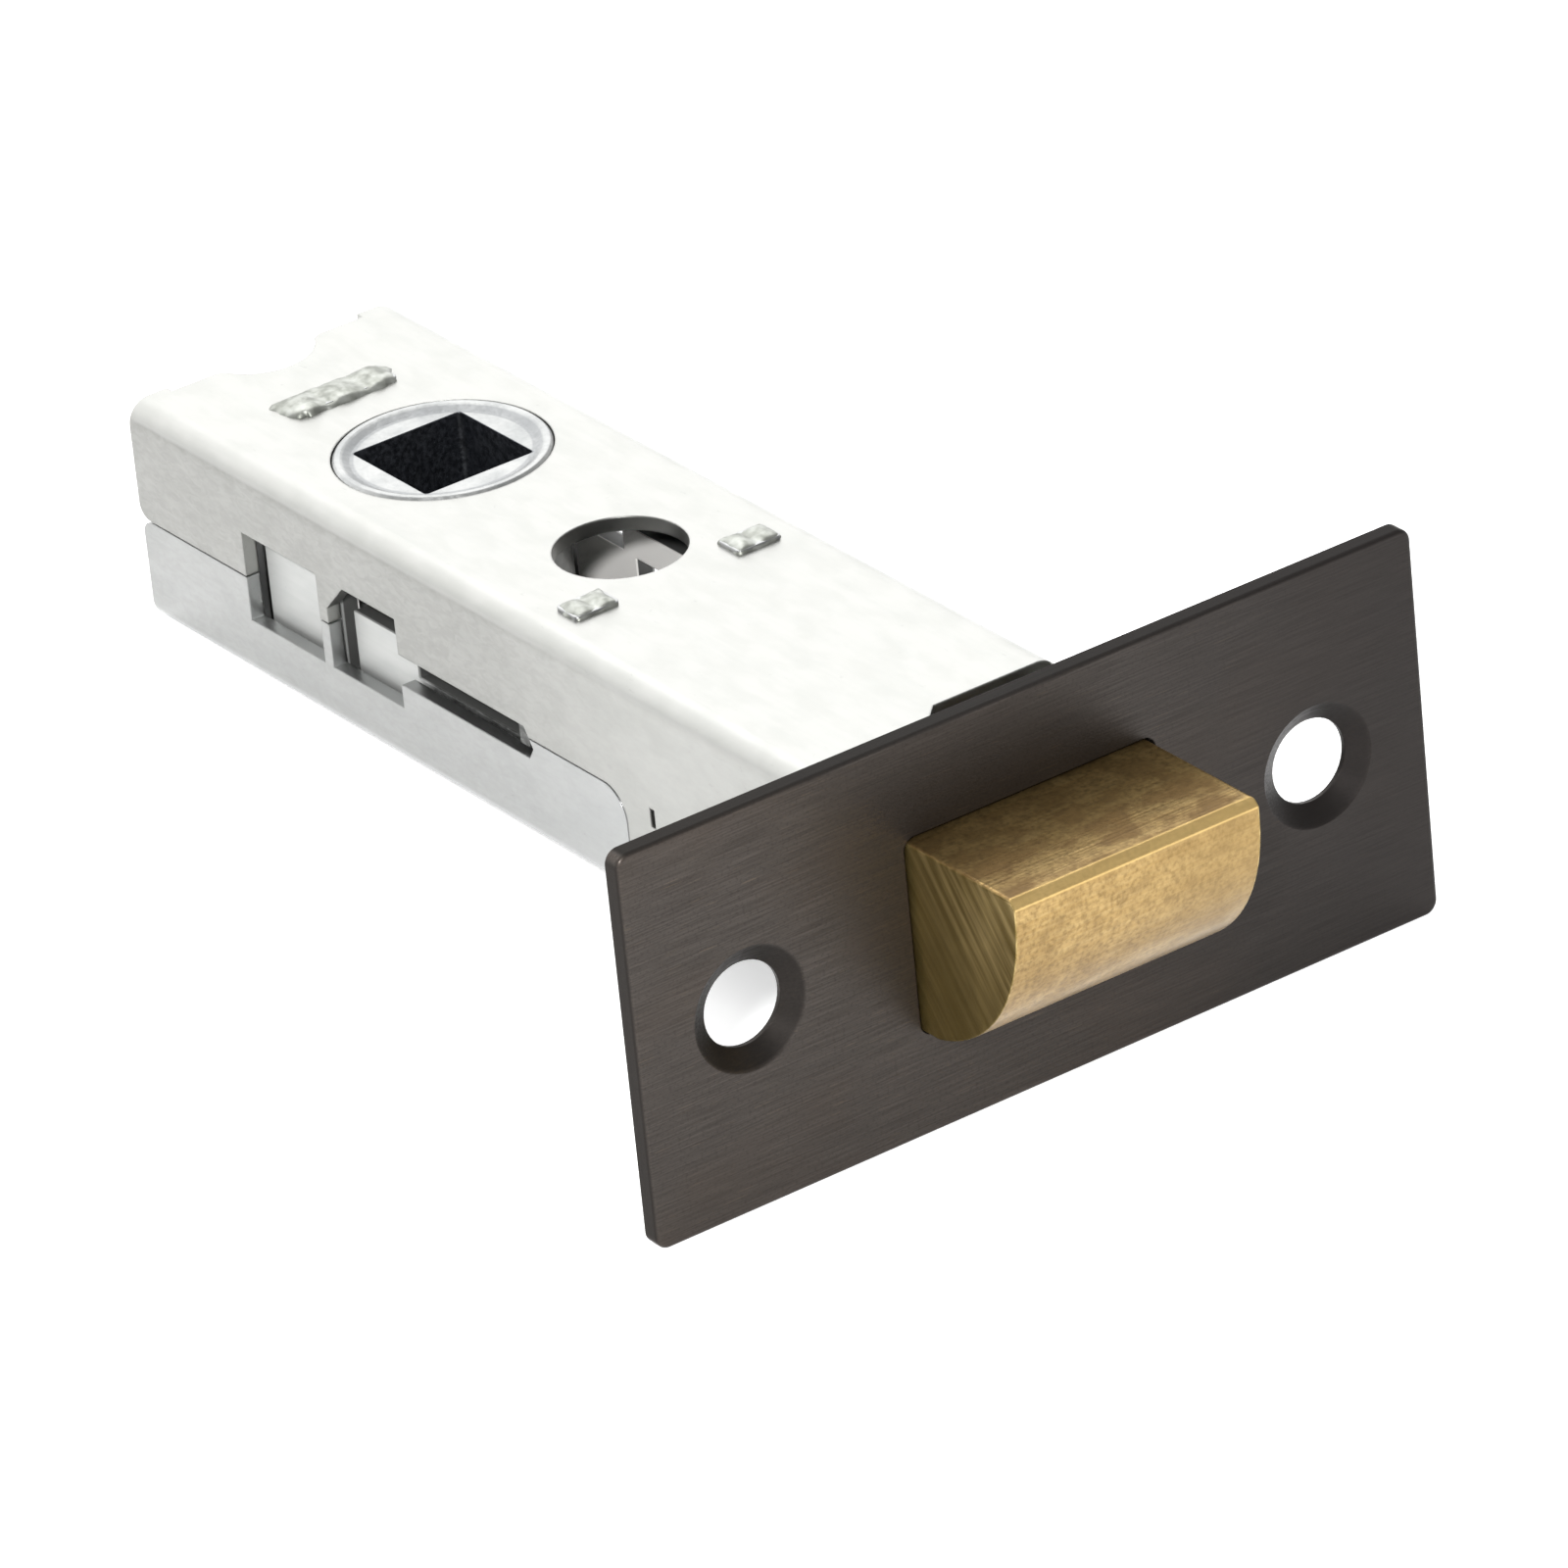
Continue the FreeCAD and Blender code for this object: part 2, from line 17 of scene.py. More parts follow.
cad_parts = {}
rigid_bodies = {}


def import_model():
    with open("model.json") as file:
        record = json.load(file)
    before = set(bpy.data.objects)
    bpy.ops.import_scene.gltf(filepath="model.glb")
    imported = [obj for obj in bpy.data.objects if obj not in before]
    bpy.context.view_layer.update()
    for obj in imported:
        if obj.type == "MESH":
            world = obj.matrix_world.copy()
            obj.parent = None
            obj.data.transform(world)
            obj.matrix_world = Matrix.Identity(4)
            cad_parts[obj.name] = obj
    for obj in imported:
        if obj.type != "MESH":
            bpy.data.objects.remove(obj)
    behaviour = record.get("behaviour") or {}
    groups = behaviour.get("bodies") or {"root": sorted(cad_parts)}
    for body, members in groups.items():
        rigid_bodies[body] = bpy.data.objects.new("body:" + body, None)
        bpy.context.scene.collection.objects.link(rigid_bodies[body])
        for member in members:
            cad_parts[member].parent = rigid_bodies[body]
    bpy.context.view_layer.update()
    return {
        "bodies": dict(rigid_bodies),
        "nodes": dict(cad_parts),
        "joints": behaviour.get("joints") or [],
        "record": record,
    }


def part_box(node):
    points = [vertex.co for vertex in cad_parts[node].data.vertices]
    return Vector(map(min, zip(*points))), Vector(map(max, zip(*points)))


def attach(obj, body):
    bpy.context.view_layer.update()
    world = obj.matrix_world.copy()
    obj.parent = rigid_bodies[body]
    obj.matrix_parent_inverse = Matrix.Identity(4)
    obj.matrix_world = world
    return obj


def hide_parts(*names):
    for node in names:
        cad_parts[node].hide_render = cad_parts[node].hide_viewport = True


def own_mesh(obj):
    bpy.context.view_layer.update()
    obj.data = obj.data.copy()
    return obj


log = logging.getLogger("latch")
MM = 0.001


class Body(Enum):
    """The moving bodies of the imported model."""

    CASE = "case"
    HUB = "hub_body"
    RETRACTOR = "retractor"
    BOLT = "bolt"


class Slot(Enum):
    """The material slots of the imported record."""

    BRONZE = "bronze_plate"
    ZINC = "zinc_steel"
    HUB = "hub_metal"
    BRASS = "brass"
    SPRING = "spring_steel"


def srgb(code: str) -> tuple[float, float, float, float]:
    """Turn a colour picked on screen into the linear one that shaders use.

    Args:
        code: An sRGB colour as six hex digits.

    Returns:
        Linear red, green, blue and an alpha of one.
    """
    values = [int(code[place:place + 2], 16) / 255 for place in (0, 2, 4)]
    linear = [v / 12.92 if v <= 0.04045 else ((v + 0.055) / 1.055) ** 2.4 for v in values]
    return linear[0], linear[1], linear[2], 1.0


def add_node(
    tree: bpy.types.NodeTree,
    kind: str,
    settings: dict[str, Any] | None = None,
    inputs: dict[Any, Any] | None = None,
) -> bpy.types.Node:
    """Add a shader node with its settings and links.

    Args:
        tree: The material's node tree.
        kind: The node's type, without the ShaderNode prefix.
        settings: Values for the node's own properties.
        inputs: Input name or number to a value or to the output socket that feeds it.

    Returns:
        The new node.
    """
    node = tree.nodes.new("ShaderNode" + kind)
    for name, value in (settings or {}).items():
        setattr(node, name, value)
    for name, value in (inputs or {}).items():
        if isinstance(value, bpy.types.NodeSocket):
            tree.links.new(value, node.inputs[name])
        else:
            node.inputs[name].default_value = value
    return node


def set_stops(ramp: bpy.types.Node, stops: list[tuple[float, str]]) -> bpy.types.NodeSocket:
    """Give a colour ramp its stops.

    Args:
        ramp: The colour ramp node.
        stops: Places from 0 to 1, each with an sRGB hex colour.

    Returns:
        The ramp's colour output.
    """
    marks = ramp.color_ramp.elements
    while len(marks) < len(stops):
        marks.new(0.5)
    for mark, (place, code) in zip(marks, stops):
        mark.position = place
        mark.color = srgb(code)
    return ramp.outputs["Color"]


@dataclass(frozen=True)
class Finish:
    """What every metal finish here has: a name, a rounding of its edges and a base."""

    name: str
    edge_round_mm: float = 0.12

    def start(self) -> tuple[bpy.types.Material, bpy.types.NodeTree, bpy.types.NodeSocket]:
        """Make an empty material that reads object coordinates.

        Returns:
            The material, its node tree and the socket with the object's coordinates.
        """
        material = bpy.data.materials.new(self.name)
        material.use_nodes = True
        tree = material.node_tree
        tree.nodes.clear()
        place = add_node(tree, "TexCoord").outputs["Object"]
        return material, tree, place

    def grain(
        self,
        tree: bpy.types.NodeTree,
        place: bpy.types.NodeSocket,
        size_mm: tuple[float, float, float],
        detail: float = 2.0,
        distortion: float = 0.0,
    ) -> bpy.types.NodeSocket:
        """Noise whose blobs have a real size along each axis.

        Args:
            tree: The material's node tree.
            place: The object's coordinates.
            size_mm: Length of a blob along X, Y and Z.
            detail: Octaves of finer noise.
            distortion: How far the noise bends itself.

        Returns:
            The noise's factor, about 0.5 in its middle.
        """
        scale = tuple(1000 / size for size in size_mm)
        mapped = add_node(tree, "Mapping", inputs={"Vector": place, "Scale": scale})
        settings = {"noise_dimensions": "3D"}
        inputs = {"Vector": mapped.outputs[0], "Scale": 1.0, "Detail": detail, "Distortion": distortion}
        return add_node(tree, "TexNoise", settings, inputs).outputs["Fac"]

    def blend(
        self,
        tree: bpy.types.NodeTree,
        factor: Any,
        low: Any,
        high: Any,
        how: str = "MIX",
    ) -> bpy.types.NodeSocket:
        """Blend two colours.

        Args:
            tree: The material's node tree.
            factor: Share of the second colour, a number or a socket.
            low: First colour, a value or a socket.
            high: Second colour, a value or a socket.
            how: Blender's name of the way to mix.

        Returns:
            The blended colour.
        """
        settings = {"data_type": "RGBA", "blend_type": how}
        mix = add_node(tree, "Mix", settings)
        for number, value in ((0, factor), (6, low), (7, high)):
            if isinstance(value, bpy.types.NodeSocket):
                tree.links.new(value, mix.inputs[number])
            else:
                mix.inputs[number].default_value = value
        return mix.outputs[2]

    def between(
        self,
        tree: bpy.types.NodeTree,
        value: bpy.types.NodeSocket,
        span: tuple[float, float],
        result: tuple[float, float],
    ) -> bpy.types.NodeSocket:
        """Map one span of values to another, clamped at both ends.

        Args:
            tree: The material's node tree.
            value: The socket to read.
            span: The lowest and highest value that are read.
            result: What those two become.

        Returns:
            The mapped value.
        """
        inputs = {0: value, 1: span[0], 2: span[1], 3: result[0], 4: result[1]}
        return add_node(tree, "MapRange", {"interpolation_type": "SMOOTHSTEP"}, inputs).outputs[0]

    def finish(
        self,
        tree: bpy.types.NodeTree,
        colour: Any,
        roughness: Any,
        height: bpy.types.NodeSocket,
        depth_mm: float,
        metallic: Any = 1.0,
    ) -> None:
        """Close the material with a metal shader, soft edges and a bump.

        Args:
            tree: The material's node tree.
            colour: Base colour, a value or a socket.
            roughness: Roughness, a number or a socket.
            height: Height map from 0 to 1.
            depth_mm: What one unit of height is worth.
            metallic: Share of metal in the surface, a number or a socket.
        """
        soft = add_node(tree, "Bevel", {"samples": 4}, {"Radius": self.edge_round_mm * MM})
        inputs = {"Height": height, "Distance": depth_mm * MM, "Strength": 1.0, "Normal": soft.outputs[0]}
        bump = add_node(tree, "Bump", inputs=inputs)
        inputs = {"Base Color": colour, "Roughness": roughness, "Metallic": metallic, "Normal": bump.outputs[0]}
        shader = add_node(tree, "BsdfPrincipled", inputs=inputs)
        add_node(tree, "OutputMaterial", inputs={"Surface": shader.outputs[0]})


@dataclass(frozen=True)
class BrushedBronze(Finish):
    """Dark bronze plating on sheet, brushed along its length.

    The brush leaves close parallel lines, a few of them cut through to warmer metal,
    and it darkens along its edges. Painted shade darkens it inside the two countersinks
    and towards +Y.
    """

    line_mm: float = 0.11
    stroke_mm: float = 4.5
    half_length_mm: float = 28.75
    half_width_mm: float = 12.9
    screw_mm: float = 20.7
    sink_mm: float = 4.0

    def build(self) -> bpy.types.Material:
        """Make the material."""
        material, tree, place = self.start()
        fine = self.grain(tree, place, (self.line_mm, self.stroke_mm, self.line_mm), 3.0)
        broad = self.grain(tree, place, (0.8, self.stroke_mm * 2, 0.8), 2.0)
        cloud = self.grain(tree, place, (9.0, 14.0, 9.0), 2.0)
        ramp = add_node(tree, "ValToRGB", inputs={"Fac": fine})
        lines = set_stops(ramp, [(0.30, "373330"), (0.50, "403C39"), (0.72, "4C4743")])
        tone = add_node(tree, "ValToRGB", inputs={"Fac": broad})
        bands = set_stops(tone, [(0.35, "423D39"), (0.65, "47413D")])
        colour = self.blend(tree, 0.4, lines, bands)
        cuts = self.grain(tree, place, (self.line_mm * 1.3, self.stroke_mm * 0.6, self.line_mm * 1.3), 1.0)
        rare = self.between(tree, cuts, (0.66, 0.76), (0.0, 0.24))
        colour = self.blend(tree, rare, colour, srgb("685B4B"))
        grit = self.grain(tree, place, (0.16, 0.24, 0.16), 1.0)
        pores = self.between(tree, grit, (0.50, 0.72), (0.0, 0.35))
        colour = self.blend(tree, pores, colour, srgb("2F2B29"))
        warm = self.between(tree, cloud, (0.45, 0.7), (0.0, 0.25))
        colour = self.blend(tree, warm, colour, srgb("483E36"))
        ends = self.rim(tree, place, 1, self.half_length_mm)
        edges = self.rim(tree, place, 2, self.half_width_mm)
        colour = self.blend(tree, ends, colour, srgb("2C2927"))
        colour = self.blend(tree, edges, colour, srgb("1E1C1A"))
        # Painted shade inside the countersinks.
        colour = self.blend(tree, self.sunk(tree, place), colour, srgb("1E1B19"))
        # Painted shade: the plate darkens towards +Y.
        parts = add_node(tree, "SeparateXYZ", inputs={0: place})
        reach = self.half_length_mm * MM
        painted_shade_towards_plus_y = self.between(tree, parts.outputs[1], (-reach * 0.4, reach), (0.0, 0.86))
        colour = self.blend(tree, painted_shade_towards_plus_y, colour, srgb("262322"))
        brushed = self.between(tree, fine, (0.3, 0.7), (0.50, 0.36))
        sheared = add_node(tree, "Math", {"operation": "MAXIMUM"}, {0: ends, 1: edges}).outputs[0]
        rough = add_node(tree, "Math", {"operation": "MAXIMUM"}, {0: brushed, 1: sheared}).outputs[0]
        self.finish(tree, colour, rough, fine, 0.006, 0.85)
        return material

    def sunk(self, tree: bpy.types.NodeTree, place: bpy.types.NodeSocket) -> bpy.types.NodeSocket:
        """Share of painted shade inside the two countersinks.

        Args:
            tree: The material's node tree.
            place: The object's coordinates.

        Returns:
            The share, from 0 to about 0.8.
        """
        parts = add_node(tree, "SeparateXYZ", inputs={0: place})
        along = add_node(tree, "Math", {"operation": "ABSOLUTE"}, {0: parts.outputs[1]})
        offset = add_node(tree, "Math", {"operation": "SUBTRACT"}, {0: along.outputs[0], 1: self.screw_mm * MM})
        flat = add_node(tree, "CombineXYZ", inputs={0: offset.outputs[0], 1: parts.outputs[2]})
        far = add_node(tree, "VectorMath", {"operation": "LENGTH"}, {0: flat.outputs[0]})
        rim = self.sink_mm * MM
        return self.between(tree, far.outputs["Value"], (rim - 0.25 * MM, rim + 0.05 * MM), (0.8, 0.0))

    def rim(
        self, tree: bpy.types.NodeTree, place: bpy.types.NodeSocket, axis: int, half_mm: float
    ) -> bpy.types.NodeSocket:
        """Share of the edge's own tone, which rises over the last part of a millimetre.

        Args:
            tree: The material's node tree.
            place: The object's coordinates.
            axis: Number of the axis across the edge.
            half_mm: How far the edge stands from the plate's middle.

        Returns:
            The share, from 0 to about 0.8.
        """
        parts = add_node(tree, "SeparateXYZ", inputs={0: place})
        reach = add_node(tree, "Math", {"operation": "ABSOLUTE"}, {0: parts.outputs[axis]}).outputs[0]
        return self.between(tree, reach, ((half_mm - 0.2) * MM, half_mm * MM), (0.0, 0.8))


@dataclass(frozen=True)
class ZincPlate(Finish):
    """Bright zinc plating on pressed mild steel.

    It mirrors its surroundings softly, with a faint cloudy bloom, rolling lines along the
    strip and small handling marks. Beyond side_mm from the middle, which is the outer sides
    of the case or the arms' outer faces and lugs by the slot, it is darkened by painted shade.
    Where inner_mm is not set, the faces inside the case carry painted shade too. Nearer than
    inner_mm to the middle, which is the arms' inner faces, it is painted pale and nearly
    non-metallic, a painted brightening so that the light through the hole reads bright there.
    """

    base: str = "AEAFAC"
    bloom: str = "A3A5A2"
    roughness: float = 0.32
    metallic: float = 1.0
    side_mm: float = 10.15
    side_shade_tone: str = "80807D"
    side_shade_share: float = 0.66
    side_x_mm: tuple[float, float] = (-46.0, -22.0)
    side_ends: tuple[float, float] = (1.0, 0.3)
    hollow_mm: tuple[float, float] = (9.2, 6.6)
    inner_mm: float = 0.0

    def build(self) -> bpy.types.Material:
        """Make the material."""
        material, tree, place = self.start()
        cloud = self.grain(tree, place, (3.2, 1.6, 1.6), 3.0, 0.3)
        rolled = self.grain(tree, place, (9.0, 0.35, 0.35), 2.0)
        peel = self.grain(tree, place, (0.45, 0.45, 0.45), 2.0)
        share = self.between(tree, cloud, (0.35, 0.70), (0.0, 0.4))
        colour = self.blend(tree, share, srgb(self.base), srgb(self.bloom))
        streak = self.between(tree, rolled, (0.35, 0.7), (0.0, 0.22))
        colour = self.blend(tree, streak, colour, srgb("9FA19E"))
        marks = self.grain(tree, place, (0.9, 0.4, 0.4), 3.0, 0.8)
        mark = self.between(tree, marks, (0.68, 0.80), (0.0, 0.28))
        colour = self.blend(tree, mark, colour, srgb("787B78"))
        parts = add_node(tree, "SeparateXYZ", inputs={0: place})
        reach = add_node(tree, "Math", {"operation": "ABSOLUTE"}, {0: parts.outputs[1]}).outputs[0]
        # Painted shade: the outer sides are darkened, in blotches and varying along the length; on the arms it darkens
        # their outer faces by the slot.
        side_shade_mask = self.between(tree, reach, ((self.side_mm - 0.1) * MM, self.side_mm * MM), (0.0, self.side_shade_share))
        length = (self.side_x_mm[0] * MM, self.side_x_mm[1] * MM)
        along = self.between(tree, parts.outputs[0], length, self.side_ends)
        painted_side_shade = add_node(tree, "Math", {"operation": "MULTIPLY"}, {0: side_shade_mask, 1: along}).outputs[0]
        mottle = self.between(tree, marks, (0.3, 0.7), (0.84, 1.16))
        painted_side_shade = add_node(tree, "Math", {"operation": "MULTIPLY"}, {0: painted_side_shade, 1: mottle}).outputs[0]
        colour = self.blend(tree, painted_side_shade, colour, srgb(self.side_shade_tone))
        # Painted shade on the faces inside the case.
        if not self.inner_mm:
            colour = self.blend(tree, self.inside(tree, reach, parts.outputs[2]), colour, srgb("3C3C3A"))
        else:
            colour = self.blend(tree, self.sheared(tree, reach), colour, srgb("2E2E2C"))
        rough = self.between(tree, cloud, (0.3, 0.75), (self.roughness, self.roughness + 0.06))
        metallic: Any = self.metallic
        # Painted brightening: the arms' inner faces are made pale and nearly non-metallic so the light through the hole
        # reads bright on them.
        if self.inner_mm:
            span = (self.inner_mm * MM, (self.inner_mm + 0.1) * MM)
            colour = self.blend(tree, self.between(tree, reach, span, (1.0, 0.0)), colour, srgb("F6F4F0"))
            metallic = self.between(tree, reach, span, (0.05, self.metallic))
        self.finish(tree, colour, rough, peel, 0.006, metallic)
        return material

    def sheared(self, tree: bpy.types.NodeTree, across: bpy.types.NodeSocket) -> bpy.types.NodeSocket:
        """Share of dark bare metal on the edges that the press sheared, between a plate's two faces.

        Args:
            tree: The material's node tree.
            across: Distance from the middle along Y.

        Returns:
            The share, from 0 to about 0.8.
        """
        span = (self.inner_mm * MM, (self.inner_mm + 0.1) * MM)
        first = self.between(tree, across, span, (0.0, 0.8))
        last = self.between(tree, across, ((self.side_mm - 0.1) * MM, self.side_mm * MM), (1.0, 0.0))
        return add_node(tree, "Math", {"operation": "MULTIPLY"}, {0: first, 1: last}).outputs[0]

    def inside(
        self, tree: bpy.types.NodeTree, across: bpy.types.NodeSocket, height: bpy.types.NodeSocket
    ) -> bpy.types.NodeSocket:
        """Share of painted shade on the faces inside the case.

        Args:
            tree: The material's node tree.
            across: Distance from the middle along Y.
            height: The coordinate along Z.

        Returns:
            The share, from 0 to about 0.7.
        """
        lift = add_node(tree, "Math", {"operation": "ABSOLUTE"}, {0: height}).outputs[0]
        share = []
        for value, wall_mm, most in ((across, self.hollow_mm[0], 0.7), (lift, self.hollow_mm[1], 1.0)):
            share.append(self.between(tree, value, ((wall_mm - 0.05) * MM, (wall_mm + 0.05) * MM), (most, 0.0)))
        return add_node(tree, "Math", {"operation": "MULTIPLY"}, {0: share[0], 1: share[1]}).outputs[0]


@dataclass(frozen=True)
class DieCastZinc(Finish):
    """Tumbled die-cast zinc alloy: grey, satin and very slightly pitted."""

    backset_mm: float = 60.0

    def build(self) -> bpy.types.Material:
        """Make the material."""
        material, tree, place = self.start()
        pits = self.grain(tree, place, (0.35, 0.35, 0.35), 3.0)
        cloud = self.grain(tree, place, (2.2, 2.2, 2.2), 3.0)
        share = self.between(tree, cloud, (0.35, 0.7), (0.0, 0.8))
        colour = self.blend(tree, share, srgb("A5A6A5"), srgb("8F9191"))
        # Painted shade on the walls of the square hole and on the sloped ring.
        colour = self.blend(tree, self.in_square(tree, place), colour, srgb("565A64"))
        colour = self.blend(tree, self.on_ring(tree, place), colour, srgb("76787A"))
        rough = self.between(tree, pits, (0.3, 0.7), (0.30, 0.46))
        self.finish(tree, colour, rough, pits, 0.02)
        return material

    def on_ring(self, tree: bpy.types.NodeTree, place: bpy.types.NodeSocket) -> bpy.types.NodeSocket:
        """Share of painted shade on the sloped ring inside the hub's rim.

        Args:
            tree: The material's node tree.
            place: The object's coordinates.

        Returns:
            The share, from 0 to about 0.6.
        """
        centred = add_node(tree, "Mapping", inputs={"Vector": place, "Location": (self.backset_mm * MM, 0.0, 0.0)})
        flat = add_node(tree, "VectorMath", {"operation": "MULTIPLY"}, {0: centred.outputs[0], 1: (1.0, 1.0, 0.0)})
        far = add_node(tree, "VectorMath", {"operation": "LENGTH"}, {0: flat.outputs[0]}).outputs["Value"]
        inner = self.between(tree, far, (5.45 * MM, 5.6 * MM), (0.0, 0.6))
        outer = self.between(tree, far, (6.15 * MM, 6.3 * MM), (1.0, 0.0))
        return add_node(tree, "Math", {"operation": "MULTIPLY"}, {0: inner, 1: outer}).outputs[0]

    def in_square(self, tree: bpy.types.NodeTree, place: bpy.types.NodeSocket) -> bpy.types.NodeSocket:
        """Share of painted shade on the walls of the spindle's square hole.

        Args:
            tree: The material's node tree.
            place: The object's coordinates.

        Returns:
            The share, from 0 to about 0.9.
        """
        parts = add_node(tree, "SeparateXYZ", inputs={0: place})
        offset = add_node(tree, "Math", {"operation": "ADD"}, {0: parts.outputs[0], 1: self.backset_mm * MM})
        spans = []
        for socket in (offset.outputs[0], parts.outputs[1]):
            spans.append(add_node(tree, "Math", {"operation": "ABSOLUTE"}, {0: socket}).outputs[0])
        reach = add_node(tree, "Math", {"operation": "MAXIMUM"}, {0: spans[0], 1: spans[1]}).outputs[0]
        return self.between(tree, reach, (4.04 * MM, 4.09 * MM), (0.9, 0.0))


@dataclass(frozen=True)
class TarnishedBrass(Finish):
    """Solid extruded brass, sawn to length and handled.

    Golden, with fine drawing lines along its length, brown spots and clouds of tarnish, a
    painted highlight along the nose, and on its sawn ends the slanting scratches that the saw
    left, painted lighter towards their upper front. Painted shade darkens the bevel towards +Y,
    and the tarnish on top thins towards the rear, a painted lightening there.
    """

    end_mm: float = 8.85
    nose_mm: float = 15.9
    saw_pitch_mm: float = 0.55
    saw_lean: float = math.radians(38)

    def build(self) -> bpy.types.Material:
        """Make the material."""
        material, tree, place = self.start()
        drawn = self.grain(tree, place, (0.2, 7.0, 0.2), 2.0)
        cloud = self.grain(tree, place, (1.7, 2.6, 2.2), 5.0, 0.25)
        spots = self.grain(tree, place, (0.6, 0.8, 1.1), 4.0, 0.2)
        ramp = add_node(tree, "ValToRGB", inputs={"Fac": drawn})
        colour = set_stops(ramp, [(0.3, "A88B58"), (0.7, "B79C69")])
        parts = add_node(tree, "SeparateXYZ", inputs={0: place})
        top = self.between(tree, parts.outputs[2], (5.9 * MM, 6.15 * MM), (0.3, 1.0))
        blotch = self.between(tree, cloud, (0.40, 0.60), (0.0, 0.9))
        # Real tarnish, thinned towards the rear of the top as a painted lightening there.
        toward = self.between(tree, parts.outputs[0], (1.0 * MM, 8.5 * MM), (0.62, 1.0))
        handled = add_node(tree, "Math", {"operation": "MULTIPLY"}, {0: top, 1: toward}).outputs[0]
        brown = add_node(tree, "Math", {"operation": "MULTIPLY"}, {0: blotch, 1: handled}).outputs[0]
        colour = self.blend(tree, brown, colour, srgb("745B36"))
        dark = self.between(tree, spots, (0.46, 0.76), (0.0, 0.42))
        colour = self.blend(tree, dark, colour, srgb("6F5A3C"))
        grit = self.grain(tree, place, (0.3, 0.3, 0.3), 3.0)
        speckle = self.between(tree, grit, (0.34, 0.80), (0.0, 0.62))
        colour = self.blend(tree, speckle, colour, srgb("6A5330"))
        # Painted shade: the bevel below the top darkens towards +Y.
        slope = self.between(tree, parts.outputs[2], (5.8 * MM, 6.1 * MM), (1.0, 0.0))
        across = self.between(tree, parts.outputs[1], (-3.0 * MM, 9.0 * MM), (0.0, 0.5))
        shaded = add_node(tree, "Math", {"operation": "MULTIPLY"}, {0: slope, 1: across}).outputs[0]
        colour = self.blend(tree, shaded, colour, srgb("8A7247"))
        upper = add_node(tree, "Math", {"operation": "ADD"}, {0: parts.outputs[0], 1: parts.outputs[2]}).outputs[0]
        # Painted highlight along the nose's top edge.
        nose = (self.nose_mm - 0.2, self.nose_mm - 0.05)
        painted_nose_highlight = self.between(tree, upper, (nose[0] * MM, nose[1] * MM), (0.0, 0.5))
        colour = self.blend(tree, painted_nose_highlight, colour, srgb("EDCB84"))
        end, arcs = self.saw_marks(tree, place)
        tint = self.between(tree, arcs, (0.32, 0.74), (0.0, 1.0))
        # Painted light: the saw marks show lighter towards the end face's upper front.
        bright = self.between(tree, upper, (2.0 * MM, 11.0 * MM), (0.25, 1.0))
        cut = add_node(tree, "Math", {"operation": "MULTIPLY"}, {0: tint, 1: bright}).outputs[0]
        sawn = self.blend(tree, cut, srgb("84703F"), srgb("CBB27A"))
        colour = self.blend(tree, end, colour, sawn)
        rough = self.between(tree, cloud, (0.35, 0.7), (0.28, 0.38))
        height = add_node(tree, "Math", {"operation": "MULTIPLY_ADD"}, {0: arcs, 1: end, 2: drawn}).outputs[0]
        self.finish(tree, colour, rough, height, 0.012, 0.86)
        return material

    def saw_marks(
        self, tree: bpy.types.NodeTree, place: bpy.types.NodeSocket
    ) -> tuple[bpy.types.NodeSocket, bpy.types.NodeSocket]:
        """Slanting scratches that the saw left on the two end faces.

        Args:
            tree: The material's node tree.
            place: The object's coordinates.

        Returns:
            The mask of the end faces and the scratches' height, both from 0 to 1.
        """
        parts = add_node(tree, "SeparateXYZ", inputs={0: place})
        reach = add_node(tree, "Math", {"operation": "ABSOLUTE"}, {0: parts.outputs[1]}).outputs[0]
        end = self.between(tree, reach, ((self.end_mm - 0.10) * MM, (self.end_mm - 0.03) * MM), (0.0, 1.0))
        turned = add_node(tree, "Mapping", inputs={"Vector": place, "Rotation": (0.0, self.saw_lean, 0.0)})
        return end, self.grain(tree, turned.outputs[0], (self.saw_pitch_mm, 9.0, 9.0), 2.0, 0.1)


@dataclass(frozen=True)
class PeenedSteel(Finish):
    """Mild steel spread by a staking punch: bright lumps, dull grey hollows."""

    def build(self) -> bpy.types.Material:
        """Make the material."""
        material, tree, place = self.start()
        lumps = self.grain(tree, place, (0.9, 0.9, 0.9), 2.0, 0.1)
        ramp = add_node(tree, "ValToRGB", inputs={"Fac": lumps})
        colour = set_stops(ramp, [(0.34, "7C7E78"), (0.5, "92948E"), (0.66, "A3A5A0")])
        rough = self.between(tree, lumps, (0.3, 0.7), (0.5, 0.4))
        self.finish(tree, colour, rough, lumps, 0.03)
        return material


@dataclass(frozen=True)
class SpringWire(Finish):
    """Hard-drawn spring wire with a thin dark film and fine die lines."""

    def build(self) -> bpy.types.Material:
        """Make the material."""
        material, tree, place = self.start()
        film = self.grain(tree, place, (0.8, 0.5, 0.5), 3.0)
        colour = self.blend(tree, film, srgb("6C6F72"), srgb("9EA1A3"))
        rough = self.between(tree, film, (0.3, 0.7), (0.26, 0.42))
        self.finish(tree, colour, rough, film, 0.008)
        return material


def dress(node: bpy.types.Object, material: bpy.types.Material) -> None:
    """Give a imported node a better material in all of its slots."""
    if not node.material_slots:
        node.data.materials.append(material)
    for place in node.material_slots:
        place.material = material


